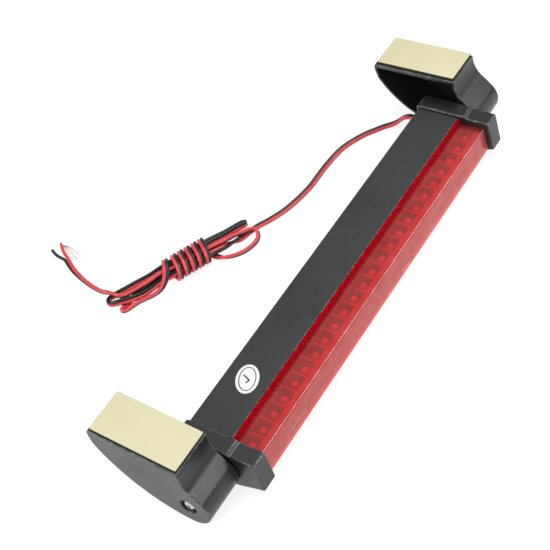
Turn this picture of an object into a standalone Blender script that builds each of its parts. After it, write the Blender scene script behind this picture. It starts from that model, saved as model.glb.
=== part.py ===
"""Third brake light: a slim LED bar on two adhesive swivel brackets.

Lengths below are millimetres; the mesh helpers turn them into metres.
+X runs along the bar, the lens lies along its -Y edge, and the LEDs shine up, +Z.
The origin is the middle of the housing's flat underside, which is also the table.
"""
import math

import bmesh
import bpy
from mathutils import Matrix, Vector

MM = 0.001
GAP = 0.3             # clearance between touching pieces
EDGE_ROUNDING = 0.35  # chamfer on moulded edges

# Bar section
BAR_HEIGHT = 25.0     # underside to top plate
BACK_Y = 22.4         # outer face of the back wall
EDGE_Y = -4.0         # front edge of the top plate, where the lens begins
WALL = 1.6            # housing wall
FLOOR_BEND_Y = -4.0   # where the floor starts to rise towards the lens
FLOOR_TIP = (-20.0, 4.9)
BODY_HALF = 133.5     # half length of housing and lens, hidden ends included

# Lens section
LENS_STEP = 4.1       # the lens top sits this far below the plate
LENS_TOP_FRONT_Y = -20.3
LENS_FOOT = (-22.3, 5.7)
LENS_WALL = 1.8

# End caps
CAP_IN = 126.2        # inboard face, where the visible lens ends
CAP_OUT = 136.5       # outboard face
CAP_LIP_Z = 26.7      # lip over the plate
CAP_BLOCK_Z = 25.8    # top over the lens
CAP_BACK_Y = 24.0
CAP_END_WALL = 2.6
BOSS_RADIUS = 8.6
BOSS_END = 149.6

# Swivel brackets, in a frame whose origin is the pivot
PIVOT_Y = 0.8
PIVOT_Z = 13.1
BRACKET_IN = 137.0
BRACKET_OUT = 163.7
KNUCKLE_RADIUS = 12.9
BRACKET_WALL = 1.9
PAD_FACE = 28.6       # pivot to the plate that carries the tape
PAD_WALL = 2.3
REST_TILT = {"left": 5.8, "right": -0.7}
SCREW_HOLE_RADIUS = 2.3
RECESS_RADIUS = 4.8
RECESS_FLOOR = 159.4

# Pivot screws and washers
SCREW_LENGTH = 19.5
SCREW_RADIUS = 1.95
SCREW_HEAD_RADIUS = 3.6
SCREW_HEAD_HEIGHT = 2.5
CROSS_ARM = 1.9
CROSS_HALF_WIDTH = 0.42
CROSS_DEPTH = 1.3
WASHER_RADIUS = 4.4
WASHER_THICKNESS = 0.8

# Adhesive pads
PAD_START = 2.6
PAD_LENGTH = 51.0
PAD_WIDTH = 25.0
FOAM_THICKNESS = 1.4
LINER_THICKNESS = 0.25
PAD_OUT = 162.9

# LED board, which lies flat under the cups
LED_COUNT = 24
LED_PITCH = 10.5
LED_RADIUS = 2.5
LED_FLANGE_RADIUS = 2.9
LED_LENGTH = 8.6
LED_Y = -10.4
BOARD_HALF = 125.6
BOARD_Y = (-18.6, -4.6)
BOARD_Z = (6.3, 7.9)
CUP_TOP = 18.2
CUP_HALF_WIDTH = 5.25
CUP_FLANGE_Y = (-18.3, -4.6)
CUP_FLANGE_Z = 16.9   # underside of the flange along both sides
CUP_MOUTH = 4.4       # half width of a cup's square mouth
CUP_MOUTH_CORNER = 1.6
CUP_FOOT = 3.2        # radius of the hole round the LED

# Parts soldered under the board
RESISTOR_COUNT = 8
RESISTOR_RADIUS = 1.15
UNDER_BOARD = (-7.2, 4.6)
RESISTOR_HALF = 2.9
DIODE_X = 94.5
DIODE_RADIUS = 1.3
DIODE_HALF = 2.5
PIN_RADIUS = 0.3
PIN_REACH = 3.0       # bare pin past each end of a body
FEED_RADIUS = 0.85
FEED_END = (-4.2, 7.1)

# Lead
CONDUCTOR_RADIUS = 1.05
LEAD_Z = 1.15
EXIT_X = 130.2
EXIT_Z = 12.0
EXIT_Y = 28.0
OUTLET_RADIUS = 2.9   # hole in the cap's back wall for the grommet
NOTCH_HALF = 3.2      # half height of the housing's notch round the grommet
GROMMET_NECK = 2.6
GROMMET_LIP = 3.4     # radius of the inner lip
GROMMET_COLLAR = 3.9  # radius of the outer collar
FEED_SPREAD = 1.2     # each conductor's distance from the grommet's axis
FEED_LANDING = 122.8  # where both conductors reach the board
HANK_RIGHT = (10.0, 86.5)
HANK_LEFT = (-61.0, 121.0)
HANK_HALF_WIDTH = 7.0
HANK_Z = (2.7, 7.2)
WINDING_LENGTH = 27.0
WINDING_MIDDLE = (-21.6, 101.6)

# Oval label on the plate
LABEL_CENTRE = (-91.5, 8.9)
LABEL_SIZE = (18.7, 12.6)
LABEL_TURN = 26.0
LABEL_THICKNESS = 0.15

COLOURS = {
    "black_plastic": ((0.028, 0.031, 0.031, 1.0), 0.42, 0.0),
    "red_lens": ((0.62, 0.02, 0.03, 1.0), 0.12, 0.0),
    "board_green": ((0.05, 0.16, 0.07, 1.0), 0.5, 0.0),
    "cup_plastic": ((0.75, 0.70, 0.68, 1.0), 0.35, 0.0),
    "led_epoxy": ((0.70, 0.05, 0.05, 1.0), 0.1, 0.0),
    "resistor_body": ((0.45, 0.34, 0.20, 1.0), 0.45, 0.0),
    "diode_body": ((0.03, 0.03, 0.03, 1.0), 0.35, 0.0),
    "foam": ((0.02, 0.02, 0.02, 1.0), 0.9, 0.0),
    "liner": ((0.80, 0.75, 0.49, 1.0), 0.55, 0.0),
    "steel": ((0.70, 0.71, 0.73, 1.0), 0.25, 1.0),
    "rubber": ((0.02, 0.02, 0.02, 1.0), 0.75, 0.0),
    "label_white": ((0.85, 0.85, 0.83, 1.0), 0.5, 0.0),
    "wire_red": ((0.70, 0.06, 0.07, 1.0), 0.4, 0.0),
    "wire_black": ((0.03, 0.03, 0.03, 1.0), 0.4, 0.0),
}


# ---------------------------------------------------------------- helpers

def clear_scene():
    for item in list(bpy.data.objects):
        bpy.data.objects.remove(item, do_unlink=True)


def material(name):
    """One Principled material for each finish."""
    if name in bpy.data.materials:
        return bpy.data.materials[name]
    colour, roughness, metallic = COLOURS[name]
    result = bpy.data.materials.new(name)
    result.use_nodes = True
    shader = result.node_tree.nodes["Principled BSDF"]
    shader.inputs["Base Color"].default_value = colour
    shader.inputs["Roughness"].default_value = roughness
    shader.inputs["Metallic"].default_value = metallic
    result.diffuse_color = colour
    return result


def add_object(name, mesh, finish, parent=None):
    mesh.materials.clear()
    mesh.materials.append(material(finish))
    result = bpy.data.objects.new(name, mesh)
    bpy.context.scene.collection.objects.link(result)
    result.parent = parent
    return result


def mesh_from(bm, smooth=False):
    """Close a bmesh into a mesh in metres with its faces pointing out."""
    bmesh.ops.recalc_face_normals(bm, faces=bm.faces)
    bmesh.ops.scale(bm, vec=(MM, MM, MM), verts=bm.verts)
    mesh = bpy.data.meshes.new("shape")
    bm.to_mesh(mesh)
    bm.free()
    if smooth:
        mesh.shade_smooth()
        mesh.set_sharp_from_angle(angle=math.radians(35))
    return mesh


def arc(centre, radius, start, end, steps):
    """Points along a circle, in degrees, both ends included."""
    angles = [math.radians(start + (end - start) * i / steps) for i in range(steps + 1)]
    return [(centre[0] + radius * math.cos(a), centre[1] + radius * math.sin(a)) for a in angles]


def offset(outline, distance):
    """Move every side of a closed counter-clockwise outline outwards."""
    points = [Vector(p) for p in outline]
    result = []
    for i, point in enumerate(points):
        before = (point - points[i - 1]).normalized()
        after = (points[(i + 1) % len(points)] - point).normalized()
        normal_a = Vector((before.y, -before.x))
        normal_b = Vector((after.y, -after.x))
        middle = normal_a + normal_b
        result.append(tuple(point + middle * distance / (0.5 * middle.length_squared)))
    return result


def prism(outline, low, high, axis="X", bevel=0.0):
    """Extrude an outline. Axis X takes (y, z) points, axis Z takes (x, y) points."""
    if axis == "X":
        corners = [(low, y, z) for y, z in outline]
        along = Vector((high - low, 0.0, 0.0))
    else:
        corners = [(x, y, low) for x, y in outline]
        along = Vector((0.0, 0.0, high - low))
    bm = bmesh.new()
    bottom = bm.faces.new([bm.verts.new(corner) for corner in corners])
    grown = bmesh.ops.extrude_face_region(bm, geom=[bottom])
    moved = [v for v in grown["geom"] if isinstance(v, bmesh.types.BMVert)]
    bmesh.ops.translate(bm, verts=moved, vec=along)
    if bevel:
        sharp = [e for e in bm.edges if e.calc_face_angle(0.0) > math.radians(30)]
        bmesh.ops.bevel(bm, geom=sharp, offset=bevel, segments=1, affect="EDGES", clamp_overlap=True)
    return bm


def turned(profile, steps):
    """Solid of revolution about local Z from (radius, height) points."""
    bm = bmesh.new()
    rings = []
    for radius, height in profile:
        if radius == 0.0:
            rings.append([bm.verts.new((0.0, 0.0, height))])
            continue
        circle = arc((0.0, 0.0), radius, 0.0, 360.0 * (steps - 1) / steps, steps - 1)
        rings.append([bm.verts.new((x, y, height)) for x, y in circle])
    for lower, upper in zip(rings, rings[1:]):
        for i in range(steps):
            corners = [lower[i % len(lower)], lower[(i + 1) % len(lower)],
                       upper[(i + 1) % len(upper)], upper[i % len(upper)]]
            unique = list(dict.fromkeys(corners))
            bm.faces.new(unique)
    for ring in (rings[0], rings[-1]):
        if len(ring) > 1:
            bm.faces.new(ring)
    return bm


def place(bm, matrix):
    bmesh.ops.transform(bm, matrix=matrix, verts=bm.verts)
    return bm


def aim(direction, origin):
    """Matrix that takes local Z to a direction and the origin to a point."""
    turn = Vector((0.0, 0.0, 1.0)).rotation_difference(Vector(direction)).to_matrix().to_4x4()
    return Matrix.Translation(Vector(origin)) @ turn


def combine(target, tool_mesh, operation, parent=None):
    """Join or cut a tool mesh with an object, leaving one plain mesh."""
    tool = add_object("tool", tool_mesh, "steel", parent)
    tool.hide_render = True
    tool.display_type = "WIRE"
    modifier = target.modifiers.new("shape", "BOOLEAN")
    modifier.operation = operation
    modifier.solver = "EXACT"
    modifier.object = tool
    graph = bpy.context.evaluated_depsgraph_get()
    result = bpy.data.meshes.new_from_object(target.evaluated_get(graph))
    target.modifiers.clear()
    finish = target.data.materials[0]
    target.data = result
    target.data.materials.clear()
    target.data.materials.append(finish)
    bpy.data.objects.remove(tool, do_unlink=True)


def smooth_route(points, step):
    """Evenly spaced points on a Catmull-Rom curve through the route's own points."""
    route = [Vector(p) for p in points]
    padded = [2 * route[0] - route[1]] + route + [2 * route[-1] - route[-2]]
    dense = []
    pieces = 24
    for p0, p1, p2, p3 in zip(padded, padded[1:], padded[2:], padded[3:]):
        for i in range(pieces):
            t = i / pieces
            linear = (p2 - p0) * t
            square = (2 * p0 - 5 * p1 + 4 * p2 - p3) * t * t
            cube = (3 * p1 - p0 - 3 * p2 + p3) * t ** 3
            dense.append(0.5 * (2 * p1 + linear + square + cube))
    dense.append(route[-1])
    total = sum((b - a).length for a, b in zip(dense, dense[1:]))
    count = max(2, round(total / step))
    result = [dense[0]]
    walked = 0.0
    for a, b in zip(dense, dense[1:]):
        walked += (b - a).length
        if walked >= total * len(result) / count and len(result) < count:
            result.append(b)
    result.append(dense[-1])
    return result


def tube(name, points, radius, finish, step=6.0):
    """A round lead as a bevelled curve with closed ends."""
    route = smooth_route(points, step)
    curve = bpy.data.curves.new(name, "CURVE")
    curve.dimensions = "3D"
    curve.bevel_depth = radius * MM
    curve.bevel_resolution = 2
    curve.use_fill_caps = True
    spline = curve.splines.new("POLY")
    spline.points.add(len(route) - 1)
    for point, spot in zip(spline.points, route):
        point.co = (*(spot * MM), 1.0)
    curve.materials.append(material(finish))
    result = bpy.data.objects.new(name, curve)
    bpy.context.scene.collection.objects.link(result)
    return result


# ---------------------------------------------------------------- sections

def housing_section():
    top = BAR_HEIGHT
    inner_back = BACK_Y - WALL
    tip_y, tip_z = FLOOR_TIP
    return [(BACK_Y, 0.0), (BACK_Y, top), (EDGE_Y, top), (EDGE_Y, top - WALL),
            (inner_back, top - WALL), (inner_back, WALL), (FLOOR_BEND_Y - 0.4, WALL),
            (tip_y, tip_z + WALL * 0.5), (tip_y, tip_z - WALL * 0.5), (FLOOR_BEND_Y, 0.0)]


def lens_section():
    """Riser at the plate's edge, flat top, leaning front and a tongue under the plate."""
    top = BAR_HEIGHT - LENS_STEP
    riser_top = BAR_HEIGHT - 0.1
    under_plate = BAR_HEIGHT - WALL - GAP
    front_y = LENS_TOP_FRONT_Y
    foot_y, foot_z = LENS_FOOT
    edge = EDGE_Y - GAP
    return [(edge, riser_top), (edge - 0.4, riser_top), (edge - 1.1, top + 0.5), (edge - 1.6, top),
            (front_y + 0.5, top), (front_y - 0.05, top - 0.5), (foot_y, foot_z),
            (foot_y + LENS_WALL, foot_z - 0.2), (front_y + LENS_WALL - 0.2, top - LENS_WALL),
            (edge + 0.3, top - LENS_WALL), (edge + 0.9, top - 1.3), (edge + 1.7, under_plate),
            (edge, under_plate)]


def body_outline():
    """Outside of housing and lens together, open below, for the caps' pockets."""
    top = BAR_HEIGHT - LENS_STEP
    tip_y, tip_z = FLOOR_TIP
    below = -2.0
    return [(BACK_Y, below), (BACK_Y, BAR_HEIGHT), (EDGE_Y - 0.7, BAR_HEIGHT),
            (EDGE_Y - 1.5, top), (LENS_TOP_FRONT_Y, top), (LENS_FOOT[0], LENS_FOOT[1] - 0.1),
            (tip_y, tip_z - WALL * 0.5), (FLOOR_BEND_Y, 0.0), (FLOOR_BEND_Y + 0.6, below)]


def cap_outline():
    lip = CAP_LIP_Z
    block = CAP_BLOCK_Z
    corner = 1.9
    rounded = arc((CAP_BACK_Y - corner, lip - corner), corner, 0.0, 90.0, 5)
    return [(23.0, 0.0), (CAP_BACK_Y, 1.0)] + rounded + [
        (-6.2, lip), (-9.2, block), (-23.1, block), (-23.8, block - 0.7),
        (-26.1, 6.6), (-25.5, 5.9), (-8.0, 0.0)]


def bracket_outline():
    """Plate edge, concave throat, round knuckle and long belly, about the pivot."""
    throat = arc((-15.0, 27.0), 17.0, 0.0, -50.0, 6)
    knuckle = arc((0.0, 0.0), KNUCKLE_RADIUS, 130.0, 270.0, 16)
    belly_radius = 64.0
    belly_end = -31.0
    belly_centre = (0.0, belly_radius - KNUCKLE_RADIUS)
    belly = arc(belly_centre, belly_radius, -90.0, belly_end, 14)
    nose = [(56.3, 24.5), (56.4, 27.0), (55.4, PAD_FACE)]
    return [(2.0, PAD_FACE)] + throat + knuckle + belly[1:] + nose


# ---------------------------------------------------------------- bar pieces

def make_housing():
    housing = add_object("housing", mesh_from(prism(housing_section(), -BODY_HALF, BODY_HALF)),
                         "black_plastic")
    inner = BACK_Y - 4.0
    outer = BACK_Y + 2.0
    notch = [(inner, EXIT_Z - NOTCH_HALF), (outer, EXIT_Z - NOTCH_HALF),
             (outer, EXIT_Z + NOTCH_HALF), (inner, EXIT_Z + NOTCH_HALF)]
    combine(housing, mesh_from(prism(notch, EXIT_X - 3.0, BODY_HALF + 1.0)), "DIFFERENCE")


def make_lens():
    add_object("lens", mesh_from(prism(lens_section(), -BODY_HALF, BODY_HALF)), "red_lens")


def make_cap(side, sign):
    cap_bm = prism(cap_outline(), sign * CAP_IN, sign * CAP_OUT, bevel=EDGE_ROUNDING)
    cap = add_object("end_cap_" + side, mesh_from(cap_bm), "black_plastic")
    pocket = prism(offset(body_outline(), GAP), sign * (CAP_IN - 2.0), sign * (CAP_OUT - CAP_END_WALL))
    combine(cap, mesh_from(pocket), "DIFFERENCE")
    axis_start = (sign * (CAP_OUT - 1.0), PIVOT_Y, PIVOT_Z)
    boss_length = BOSS_END - CAP_OUT + 1.0
    boss = turned([(BOSS_RADIUS, 0.0), (BOSS_RADIUS, boss_length - 0.8),
                   (BOSS_RADIUS - 0.8, boss_length)], 28)
    combine(cap, mesh_from(place(boss, aim((sign, 0, 0), axis_start))), "UNION")
    pilot = turned([(SCREW_HOLE_RADIUS, 3.0), (SCREW_HOLE_RADIUS, boss_length + 2.0)], 16)
    combine(cap, mesh_from(place(pilot, aim((sign, 0, 0), axis_start))), "DIFFERENCE")
    if side == "right":
        start = (EXIT_X, BACK_Y - 1.0, EXIT_Z)
        outlet = turned([(OUTLET_RADIUS, 0.0), (OUTLET_RADIUS, 4.0)], 20)
        combine(cap, mesh_from(place(outlet, aim((0, 1, 0), start))), "DIFFERENCE")


def make_label():
    angle = math.radians(LABEL_TURN)
    steps = 36
    points = []
    for i in range(steps):
        turn = 2.0 * math.pi * i / steps
        u = LABEL_SIZE[0] / 2 * math.cos(turn)
        v = LABEL_SIZE[1] / 2 * math.sin(turn)
        points.append((LABEL_CENTRE[0] + u * math.cos(angle) - v * math.sin(angle),
                       LABEL_CENTRE[1] + u * math.sin(angle) + v * math.cos(angle)))
    low = BAR_HEIGHT + 0.15
    high = low + LABEL_THICKNESS
    add_object("qc_label", mesh_from(prism(points, low, high, axis="Z")), "label_white")


# ---------------------------------------------------------------- LED board

def make_board():
    low, high = BOARD_Z
    back, front = BOARD_Y
    section = [(back, low), (front, low), (front, high), (back, high)]
    add_object("led_board", mesh_from(prism(section, -BOARD_HALF, BOARD_HALF)), "board_green")


def led_x(index):
    return (index - (LED_COUNT - 1) / 2) * LED_PITCH


def make_leds():
    """Domed round LEDs that share one mesh and stand on the board."""
    shoulder = LED_LENGTH - LED_RADIUS
    dome = arc((0.0, shoulder), LED_RADIUS, 30.0, 90.0, 2)
    profile = [(LED_FLANGE_RADIUS, 0.0), (LED_FLANGE_RADIUS, 1.0), (LED_RADIUS, 1.0),
               (LED_RADIUS, shoulder)] + dome[:-1] + [(0.0, LED_LENGTH)]
    mesh = mesh_from(turned(profile, 12), smooth=True)
    for index in range(LED_COUNT):
        led = add_object("led_%02d" % (index + 1), mesh, "led_epoxy")
        led.location = Vector((led_x(index), LED_Y, BOARD_Z[1] + GAP)) * MM


def ring_of_points(half, corner, height, centre_x):
    """Sixteen points on a rounded square about an LED, which is a circle when corner equals half."""
    points = []
    for turn in range(4):
        quarter = 90.0 * turn
        middle = math.radians(quarter + 45.0)
        shift = (half - corner) * math.sqrt(2.0)
        centre = (centre_x + shift * math.cos(middle), LED_Y + shift * math.sin(middle))
        points += [(x, y, height) for x, y in arc(centre, corner, quarter + 11.25, quarter + 78.75, 3)]
    return points


def make_cup_strip():
    """One flanged moulding with a square cup round each LED, narrowing to a round hole."""
    low = BOARD_Z[1] + GAP
    near = LED_Y - CUP_HALF_WIDTH
    far = LED_Y + CUP_HALF_WIDTH
    flange_near, flange_far = CUP_FLANGE_Y
    section = [(near, low), (far, low), (far, CUP_FLANGE_Z - GAP), (flange_far, CUP_FLANGE_Z),
               (flange_far, CUP_TOP), (flange_near, CUP_TOP), (flange_near, CUP_FLANGE_Z),
               (near, CUP_FLANGE_Z - GAP)]
    half_length = LED_COUNT * LED_PITCH / 2
    strip = add_object("led_cup_strip", mesh_from(prism(section, -half_length, half_length)),
                       "cup_plastic")
    pockets = bmesh.new()
    levels = [(CUP_FOOT, CUP_FOOT, low - 1.0), (CUP_FOOT, CUP_FOOT, low + 1.4),
              (CUP_MOUTH, CUP_MOUTH_CORNER, CUP_TOP), (CUP_MOUTH, CUP_MOUTH_CORNER, CUP_TOP + 1.0)]
    for index in range(LED_COUNT):
        rings = [[pockets.verts.new(p) for p in ring_of_points(half, corner, height, led_x(index))]
                 for half, corner, height in levels]
        for lower, upper in zip(rings, rings[1:]):
            for i in range(len(lower)):
                pockets.faces.new((lower[i - 1], lower[i], upper[i], upper[i - 1]))
        pockets.faces.new(rings[0])
        pockets.faces.new(rings[-1])
    combine(strip, mesh_from(pockets), "DIFFERENCE")


def make_board_parts():
    """One dropper resistor for each group of three LEDs, and a polarity diode."""
    y, z = UNDER_BOARD
    half = RESISTOR_HALF
    end = half + PIN_REACH
    waist = RESISTOR_RADIUS - 0.15
    resistor = turned([(PIN_RADIUS, -end), (PIN_RADIUS, -half - GAP), (RESISTOR_RADIUS, -half),
                       (waist, 0.0), (RESISTOR_RADIUS, half), (PIN_RADIUS, half + GAP),
                       (PIN_RADIUS, end)], 8)
    mesh = mesh_from(place(resistor, aim((1, 0, 0), (0.0, 0.0, 0.0))), smooth=True)
    for index in range(RESISTOR_COUNT):
        x = (index - (RESISTOR_COUNT - 1) / 2) * 3 * LED_PITCH
        item = add_object("resistor_%d" % (index + 1), mesh, "resistor_body")
        item.location = Vector((x, y, z)) * MM
    half = DIODE_HALF
    end = half + PIN_REACH
    diode = turned([(PIN_RADIUS, -end), (PIN_RADIUS, -half - 0.1), (DIODE_RADIUS, -half),
                    (DIODE_RADIUS, half), (PIN_RADIUS, half + 0.1), (PIN_RADIUS, end)], 10)
    diode_mesh = mesh_from(place(diode, aim((1, 0, 0), (DIODE_X, y, z))), smooth=True)
    add_object("polarity_diode", diode_mesh, "diode_body")


# ---------------------------------------------------------------- brackets

def make_bracket(side, sign):
    """A hollow shell open towards the bar, with a solid hub around the pivot screw."""
    pivot = bpy.data.objects.new("pivot_" + side, None)
    pivot.location = Vector((0.0, PIVOT_Y, PIVOT_Z)) * MM
    pivot.rotation_euler = (math.radians(REST_TILT[side]), 0.0, 0.0)
    bpy.context.scene.collection.objects.link(pivot)
    bpy.context.view_layer.update()
    outline = bracket_outline()
    block = prism(outline, sign * BRACKET_IN, sign * BRACKET_OUT, bevel=EDGE_ROUNDING)
    shell = add_object("bracket_" + side, mesh_from(block), "black_plastic", pivot)
    inner = offset(outline, -BRACKET_WALL)
    ceiling = PAD_FACE - PAD_WALL
    hollow = [(y, min(z, ceiling)) for y, z in inner]
    depth = BRACKET_OUT - BRACKET_WALL
    cavity = prism(hollow, sign * (BRACKET_IN - 2.0), sign * depth)
    combine(shell, mesh_from(cavity), "DIFFERENCE", pivot)
    hub_start = BOSS_END + GAP
    hub = turned([(KNUCKLE_RADIUS - 0.9, 0.0), (KNUCKLE_RADIUS - 0.9, depth - hub_start + 0.9)], 32)
    combine(shell, mesh_from(place(hub, aim((sign, 0, 0), (sign * hub_start, 0, 0)))), "UNION", pivot)
    bore = turned([(SCREW_HOLE_RADIUS, 0.0), (SCREW_HOLE_RADIUS, 20.0)], 16)
    combine(shell, mesh_from(place(bore, aim((sign, 0, 0), (sign * (hub_start - 2.0), 0, 0)))),
            "DIFFERENCE", pivot)
    recess = turned([(RECESS_RADIUS, 0.0), (RECESS_RADIUS, 8.0)], 24)
    combine(shell, mesh_from(place(recess, aim((sign, 0, 0), (sign * RECESS_FLOOR, 0, 0)))),
            "DIFFERENCE", pivot)
    make_pad(side, sign, pivot)
    make_screw(side, sign)


def make_pad(side, sign, pivot):
    """Foam tape on the bracket's plate, and the liner that still covers it."""
    corner = 0.8
    x_low, x_high = sorted((sign * (PAD_OUT - PAD_WIDTH), sign * PAD_OUT))
    y_low = PAD_START
    y_high = PAD_START + PAD_LENGTH
    outline = (arc((x_high - corner, y_high - corner), corner, 0, 90, 2)
               + arc((x_low + corner, y_high - corner), corner, 90, 180, 2)
               + arc((x_low + corner, y_low + corner), corner, 180, 270, 2)
               + arc((x_high - corner, y_low + corner), corner, 270, 360, 2))
    foam_low = PAD_FACE + 0.2
    foam_high = foam_low + FOAM_THICKNESS
    liner_low = foam_high + 0.2
    liner_high = liner_low + LINER_THICKNESS
    add_object("foam_tape_" + side, mesh_from(prism(outline, foam_low, foam_high, axis="Z")), "foam", pivot)
    add_object("tape_liner_" + side, mesh_from(prism(outline, liner_low, liner_high, axis="Z")),
               "liner", pivot)


def make_screw(side, sign):
    """Pan-head screw and washer that clamp the hub to the cap's boss."""
    head_start = RECESS_FLOOR + GAP + WASHER_THICKNESS + GAP
    top = SCREW_HEAD_HEIGHT
    wide = SCREW_HEAD_RADIUS
    tip = -SCREW_LENGTH
    dome = arc((0.0, top - wide), wide, 35.0, 90.0, 3)
    profile = ([(0.0, tip), (1.2, tip + 1.6), (SCREW_RADIUS, tip + 3.0), (SCREW_RADIUS, 0.0),
                (wide, 0.0), (wide, top * 0.35)]
               + [(r, max(h, top * 0.4)) for r, h in dome[:-1]] + [(0.0, top)])
    seat = aim((sign, 0, 0), (sign * head_start, PIVOT_Y, PIVOT_Z))
    shank = place(turned(profile, 18), seat)
    screw = add_object("pivot_screw_" + side, mesh_from(shank, smooth=True), "steel")
    arm = CROSS_ARM
    half = CROSS_HALF_WIDTH
    cross = [(arm, -half), (arm, half), (half, half), (half, arm), (-half, arm), (-half, half),
             (-arm, half), (-arm, -half), (-half, -half), (-half, -arm), (half, -arm), (half, -half)]
    slot = place(prism(cross, top - CROSS_DEPTH, top + 1.0, axis="Z"), seat)
    combine(screw, mesh_from(slot), "DIFFERENCE")
    washer = turned([(WASHER_RADIUS, 0.0), (WASHER_RADIUS, WASHER_THICKNESS)], 24)
    seat = aim((sign, 0, 0), (sign * (RECESS_FLOOR + GAP), PIVOT_Y, PIVOT_Z))
    plate = add_object("pivot_washer_" + side, mesh_from(place(washer, seat)), "steel")
    hole = turned([(SCREW_HOLE_RADIUS, -1.0), (SCREW_HOLE_RADIUS, 2.0)], 16)
    combine(plate, mesh_from(place(hole, seat)), "DIFFERENCE")


# ---------------------------------------------------------------- lead

def make_grommet():
    """Rubber bush through the cap's back wall; its inner lip stops the lead pulling out."""
    inside = BACK_Y - WALL - GAP
    outside = CAP_BACK_Y + GAP
    profile = [(2.2, inside - 1.2), (GROMMET_LIP, inside - 1.2), (GROMMET_LIP, inside),
               (GROMMET_NECK, inside), (GROMMET_NECK, outside), (GROMMET_COLLAR, outside),
               (GROMMET_COLLAR, outside + 1.1), (3.0, outside + 1.5), (2.7, EXIT_Y - 0.2), (2.4, EXIT_Y)]
    seat = aim((0, 1, 0), (EXIT_X, 0.0, EXIT_Z))
    add_object("cord_grommet", mesh_from(place(turned(profile, 20), seat), smooth=True), "rubber")


def make_feed_wires():
    """The lead's two conductors from the grommet to the back edge of the LED board."""
    start = BACK_Y - WALL - 2 * GAP - 1.2
    end_y, end_z = FEED_END
    for name, side in (("red", -1), ("black", 1)):
        x = EXIT_X + side * FEED_SPREAD
        end_x = FEED_LANDING + side * 1.5 * FEED_SPREAD
        route = [(x, start, EXIT_Z), (x - 0.4, 15.0, EXIT_Z), (x - 2.6, 9.0, 10.4),
                 (end_x + 1.2, 3.2, 8.0), (end_x, -1.2, end_z), (end_x, end_y, end_z)]
        tube("feed_wire_" + name, route, FEED_RADIUS, "wire_" + name, step=4.0)


def make_lead():
    """The twin lead from the grommet to the hank, lying on the table after its first bend."""
    on_table = [(126.3, 49.6), (121.4, 53.4), (115.9, 57.5), (107.8, 61.7), (98.8, 64.9), (87.8, 66.2),
                (77.2, 66.5), (64.2, 66.3), (54.5, 67.3), (46.0, 68.9), (37.7, 71.2), (28.7, 75.2)]
    route = [(EXIT_X, EXIT_Y + GAP, EXIT_Z), (EXIT_X, 32.8, 11.6), (131.0, 37.6, 8.2), (130.4, 41.5, 4.4),
             (128.9, 45.6, 2.0)]
    route += [(x, y, LEAD_Z) for x, y in on_table]
    route += [(22.0, 79.0, 2.0), (17.0, 82.0, 4.2)]
    tube("cord_lead", route, CONDUCTOR_RADIUS, "wire_red")


def make_hank():
    """Outer shape of the folded strands, and of the turns wound round their middle."""
    right = Vector(HANK_RIGHT)
    left = Vector(HANK_LEFT)
    along = (left - right).normalized()
    heading = math.degrees(math.atan2(along.y, along.x))
    outline = arc(right, HANK_HALF_WIDTH, heading + 90, heading + 270, 8)
    outline += arc(left, HANK_HALF_WIDTH, heading - 90, heading + 90, 8)
    add_object("cord_hank", mesh_from(prism(outline, *HANK_Z, axis="Z")), "wire_red")
    inner_half = HANK_HALF_WIDTH + 0.5
    low, high = HANK_Z
    turn = 2 * CONDUCTOR_RADIUS
    middle = (low + high) / 2
    half_height = (high - low) / 2 + 0.4
    ring = []
    for corner, start in (((1, 1), 0), ((-1, 1), 90), ((-1, -1), 180), ((1, -1), 270)):
        centre = (corner[0] * (inner_half - 1.0), corner[1] * (half_height - 1.0))
        ring += arc(centre, 1.0 + turn, start, start + 90, 4)
    hole = [(-inner_half, -half_height), (inner_half, -half_height),
            (inner_half, half_height), (-inner_half, half_height)]
    spot = Matrix.Translation((*WINDING_MIDDLE, middle)) @ Matrix.Rotation(math.radians(heading), 4, "Z")
    half_length = WINDING_LENGTH / 2
    winding = add_object("cord_winding", mesh_from(place(prism(ring, -half_length, half_length), spot)),
                         "wire_red")
    tunnel = place(prism(hole, -half_length - 1.0, half_length + 1.0), spot)
    combine(winding, mesh_from(tunnel), "DIFFERENCE")


def make_loose_ends():
    """Side loop, tail and the two split tips."""
    z = LEAD_Z
    loop = [(-9.2, 86.4, 3.4), (-6.6, 81.6, 2.0), (-1.8, 76.6, z), (6.2, 72.2, z), (12.6, 71.9, z),
            (16.0, 75.2, 2.2), (14.2, 78.3, 3.4)]
    tube("cord_loop", loop, CONDUCTOR_RADIUS, "wire_red", step=5.0)
    tail = [(-60.6, 128.9, 3.8), (-59.4, 133.6, 2.2), (-58.3, 139.8, z), (-56.1, 152.9, z),
            (-51.9, 165.6, z), (-46.9, 175.0, z)]
    tube("cord_tail", tail, CONDUCTOR_RADIUS, "wire_red")
    red_tip = [(-44.9, 177.1, 1.0), (-41.8, 182.0, 1.0), (-37.6, 187.2, 1.0)]
    tube("cord_tip_red", red_tip, 0.9, "wire_red", step=4.0)
    black_tip = [(-47.3, 178.2, 1.0), (-46.2, 184.0, 1.0), (-44.1, 189.7, 1.0)]
    tube("cord_tip_black", black_tip, 0.9, "wire_black", step=4.0)


def main():
    clear_scene()
    make_housing()
    make_lens()
    make_label()
    make_board()
    make_leds()
    make_cup_strip()
    make_board_parts()
    for side, sign in (("left", -1), ("right", 1)):
        make_cap(side, sign)
        make_bracket(side, sign)
    make_grommet()
    make_feed_wires()
    make_lead()
    make_hank()
    make_loose_ends()


main()
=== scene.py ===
"""Third brake light on two swivel brackets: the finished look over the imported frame.

Shapes are written in millimetres and turned into metres when a mesh is made.
+X runs along the bar, the lens faces -Y and the table is z = 0.
"""
import math

import bmesh
import bpy
import numpy as np
from mathutils import Matrix, Vector


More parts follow.
